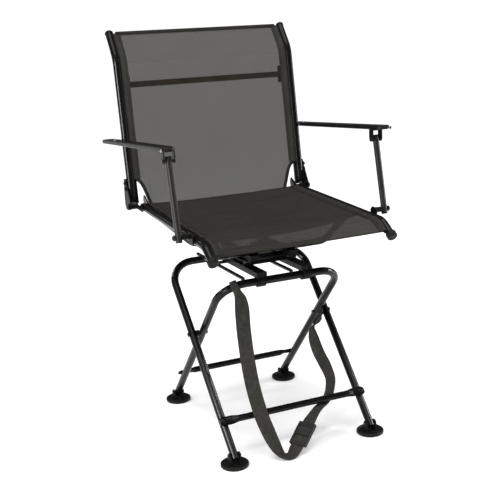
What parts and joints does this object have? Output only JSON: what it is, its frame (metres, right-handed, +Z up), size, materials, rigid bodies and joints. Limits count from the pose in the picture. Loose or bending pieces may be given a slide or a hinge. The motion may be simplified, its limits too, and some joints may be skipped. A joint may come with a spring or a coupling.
{
  "type": "folding swivel chair",
  "caption": "Folding swivel chair: mesh sling seat and fold-down back with linked armrests, on a turntable over crossed legs with tilting foot pads and a carrying strap.",
  "frame": {"origin": "on the floor under the middle of the chair's bounding box, the loose strap left out", "axes": "+Z up, -Y towards the front of the seat, +X towards the sitter's left hand; the names left and right are as seen from in front, so left is -X"},
  "size_m": [0.573, 0.6092, 0.9894],
  "materials": {
    "tube_paint": "gloss black powder coat",
    "plate_paint": "satin black powder coat",
    "fastener_steel": "dark zinc plated",
    "black_plastic": "moulded, fine texture",
    "sling_mesh": "woven coated mesh",
    "webbing": "woven webbing"
  },
  "bodies": {
    "outer_frame": {"outer_leg_tube": "tube_paint", "front_crossbar": "tube_paint", "leg_pivot_bolt_left": "fastener_steel", "leg_pivot_bolt_right": "fastener_steel", "leg_pivot_spacer_left": "black_plastic", "leg_pivot_spacer_right": "black_plastic"},
    "inner_frame": {"inner_leg_tube": "tube_paint", "rear_crossbar": "tube_paint", "carry_strap": "webbing", "strap_slider": "black_plastic"},
    "foot_front_left": {"foot_pad_front_left": "black_plastic", "foot_pin_front_left": "fastener_steel"},
    "foot_front_right": {"foot_pad_front_right": "black_plastic", "foot_pin_front_right": "fastener_steel"},
    "foot_rear_left": {"foot_pad_rear_left": "black_plastic", "foot_pin_rear_left": "fastener_steel"},
    "foot_rear_right": {"foot_pad_rear_right": "black_plastic", "foot_pin_rear_right": "fastener_steel"},
    "seat_bracket": {"bracket_channel_left": "plate_paint", "bracket_channel_right": "plate_paint", "tube_clamp_left": "plate_paint", "tube_clamp_right": "plate_paint", "rear_saddle_left": "plate_paint", "rear_saddle_right": "plate_paint", "brace_rods": "tube_paint", "turntable_lower_plate": "plate_paint", "turntable_bearing_ring": "fastener_steel", "turntable_kingpin": "fastener_steel"},
    "seat": {"seat_underlayer": "sling_mesh", "turntable_upper_plate": "plate_paint", "seat_mount_bar_left": "plate_paint", "seat_mount_bar_right": "plate_paint", "seat_cross_tube_front": "tube_paint", "seat_cross_tube_rear": "tube_paint", "seat_rail_left": "tube_paint", "seat_rail_right": "tube_paint", "rail_cap_left": "black_plastic", "rail_cap_right": "black_plastic", "hinge_stud_left": "plate_paint", "hinge_stud_right": "plate_paint", "arm_foot_bracket_left": "plate_paint", "arm_foot_bracket_right": "plate_paint", "arm_foot_bolt_left": "fastener_steel", "arm_foot_bolt_right": "fastener_steel", "seat_sling": "sling_mesh"},
    "back": {"back_post_left": "tube_paint", "back_post_right": "tube_paint", "post_cap_left": "black_plastic", "post_cap_right": "black_plastic", "back_top_rod": "tube_paint", "back_cross_brace": "plate_paint", "back_hinge_plate_left": "plate_paint", "back_hinge_plate_right": "plate_paint", "armrest_pivot_pin_left": "fastener_steel", "armrest_pivot_pin_right": "fastener_steel", "back_sling": "sling_mesh"},
    "arm_left": {"armrest_left": "tube_paint"},
    "arm_right": {"armrest_right": "tube_paint"},
    "support_left": {"arm_support_left": "tube_paint"},
    "support_right": {"arm_support_right": "tube_paint"}
  },
  "joints": [
    {"name": "leg_fold", "type": "hinge", "parent": "outer_frame", "child": "inner_frame", "pos_m": [0, -0.02784, 0.25626], "axis": [-1, 0, 0], "range_deg": [0, 70], "deforming": ["carry_strap", "strap_slider"]},
    {"name": "bracket_lift", "type": "hinge", "parent": "inner_frame", "child": "seat_bracket", "pos_m": [0, -0.16684, 0.403], "axis": [1, 0, 0], "range_deg": [0, 112]},
    {"name": "seat_swivel", "type": "hinge", "parent": "seat_bracket", "child": "seat", "pos_m": [0, -0.02784, 0.43], "axis": [0, 0, 1], "continuous": true},
    {"name": "back_fold", "type": "hinge", "parent": "seat", "child": "back", "pos_m": [0, 0.18916, 0.548], "axis": [1, 0, 0], "range_deg": [0, 90]},
    {"name": "arm_left_tilt", "type": "hinge", "parent": "back", "child": "arm_left", "pos_m": [-0.258, 0.22116, 0.713], "axis": [1, 0, 0], "range_deg": [-90, 0]},
    {"name": "support_left_swing", "type": "hinge", "parent": "seat", "child": "support_left", "pos_m": [-0.262, -0.19784, 0.54], "axis": [1, 0, 0], "range_deg": [0, 90]},
    {"name": "arm_right_tilt", "type": "hinge", "parent": "back", "child": "arm_right", "pos_m": [0.258, 0.22116, 0.713], "axis": [1, 0, 0], "range_deg": [-90, 0]},
    {"name": "support_right_swing", "type": "hinge", "parent": "seat", "child": "support_right", "pos_m": [0.262, -0.19784, 0.54], "axis": [1, 0, 0], "range_deg": [0, 90]},
    {"name": "foot_front_left_tilt", "type": "hinge", "parent": "outer_frame", "child": "foot_front_left", "pos_m": [-0.1805, -0.24784, 0.024], "axis": [1, 0, 0], "range_deg": [-35, 35]},
    {"name": "foot_front_right_tilt", "type": "hinge", "parent": "outer_frame", "child": "foot_front_right", "pos_m": [0.1805, -0.24784, 0.024], "axis": [1, 0, 0], "range_deg": [-35, 35]},
    {"name": "foot_rear_left_tilt", "type": "hinge", "parent": "inner_frame", "child": "foot_rear_left", "pos_m": [-0.1595, 0.19216, 0.024], "axis": [1, 0, 0], "range_deg": [-35, 35]},
    {"name": "foot_rear_right_tilt", "type": "hinge", "parent": "inner_frame", "child": "foot_rear_right", "pos_m": [0.1595, 0.19216, 0.024], "axis": [1, 0, 0], "range_deg": [-35, 35]}
  ],
  "couplings": [
    {"joint": "bracket_lift", "follows": "leg_fold", "ratio": 1.6},
    {"joint": "arm_left_tilt", "follows": "back_fold", "ratio": -1},
    {"joint": "support_left_swing", "follows": "back_fold", "ratio": 1},
    {"joint": "arm_right_tilt", "follows": "back_fold", "ratio": -1},
    {"joint": "support_right_swing", "follows": "back_fold", "ratio": 1}
  ]
}
